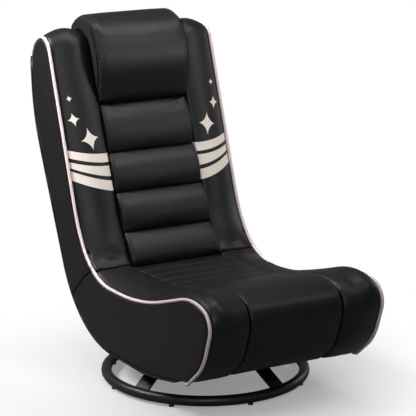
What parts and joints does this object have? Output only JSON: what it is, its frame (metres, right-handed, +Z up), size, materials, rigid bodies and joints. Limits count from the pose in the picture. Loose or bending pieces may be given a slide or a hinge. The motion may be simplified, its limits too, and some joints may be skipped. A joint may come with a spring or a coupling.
{
  "type": "floor gaming chair",
  "caption": "Legless floor gaming chair with a ribbed seat, a channelled back, a head cushion and piped edges, whose back folds forward over the seat and which swivels on a low ring base.",
  "frame": {"origin": "centre of the overall footprint, on the floor", "axes": "+Z up, +Y towards the back of the chair, so the sitter faces -Y, +X to the sitter's left"},
  "size_m": [0.505, 0.9054, 0.8364],
  "materials": {
    "leather": "satin",
    "leather_side": "satin",
    "piping": "satin",
    "mesh": "matte",
    "cover_cloth": "matte",
    "foam": "matte",
    "webbing": "matte",
    "plywood": "matte",
    "frame_steel": "satin",
    "zinc_steel": "satin",
    "powder_coat": "satin",
    "glide_plastic": "matte"
  },
  "bodies": {
    "base": {"base_ring": "powder_coat", "glides": "glide_plastic", "spoke_long": "powder_coat", "spokes_short": "powder_coat", "swivel_lower_plate": "zinc_steel", "swivel_rivet": "zinc_steel", "hub_bolts": "zinc_steel"},
    "bearing": {"bearing_balls": "zinc_steel", "ball_cage": "zinc_steel"},
    "seat": {"swivel_upper_plate": "zinc_steel", "upper_plate_bolts": "zinc_steel", "board_tee_nuts": "zinc_steel", "seat_board": "plywood", "rail_clips": "zinc_steel", "clip_screws": "zinc_steel", "seat_rail_left": "frame_steel", "seat_rail_right": "frame_steel", "seat_front_tube": "frame_steel", "seat_heel_tube": "frame_steel", "seat_straps": "webbing", "seat_foam": "foam", "seat_ribbed_pad": "leather", "seat_nose_pad": "leather", "seat_bolster_left": "leather", "seat_bolster_right": "leather", "seat_side_panel_left": "leather_side", "seat_side_panel_right": "leather_side", "seat_piping_left": "piping", "seat_piping_right": "piping", "seat_bottom_cover": "cover_cloth", "hinge_seat_leaf_left": "zinc_steel", "hinge_seat_leaf_right": "zinc_steel", "hinge_pin_left": "zinc_steel", "hinge_pin_right": "zinc_steel", "hinge_seat_bolts": "zinc_steel"},
    "back": {"back_foam": "foam", "back_bolster_left": "leather", "back_bolster_right": "leather", "back_side_panel_left": "leather_side", "back_side_panel_right": "leather_side", "back_piping_left": "piping", "back_piping_right": "piping", "back_rear_cover": "cover_cloth", "back_channel_1": "leather", "back_channel_2": "leather", "back_channel_3": "leather", "back_channel_4": "leather", "headrest": "leather", "headrest_mesh_left": "mesh", "headrest_mesh_right": "mesh", "back_rail_left": "frame_steel", "back_rail_right": "frame_steel", "back_top_tube": "frame_steel", "back_lumbar_tube": "frame_steel", "back_straps": "webbing", "hinge_back_leaf_left": "zinc_steel", "hinge_back_leaf_right": "zinc_steel", "hinge_back_bolts": "zinc_steel"}
  },
  "joints": [
    {"name": "swivel", "type": "hinge", "parent": "base", "child": "seat", "pos_m": [0, -0.027, 0.074], "axis": [0, 0, 1], "continuous": true},
    {"name": "bearing_turn", "type": "hinge", "parent": "base", "child": "bearing", "pos_m": [0, -0.027, 0.074], "axis": [0, 0, 1], "continuous": true},
    {"name": "fold", "type": "hinge", "parent": "seat", "child": "back", "pos_m": [0, 0.168, 0.279], "axis": [1, 0, 0], "range_deg": [0, 90]}
  ],
  "couplings": [
    {"joint": "bearing_turn", "follows": "swivel", "ratio": 0.5}
  ]
}
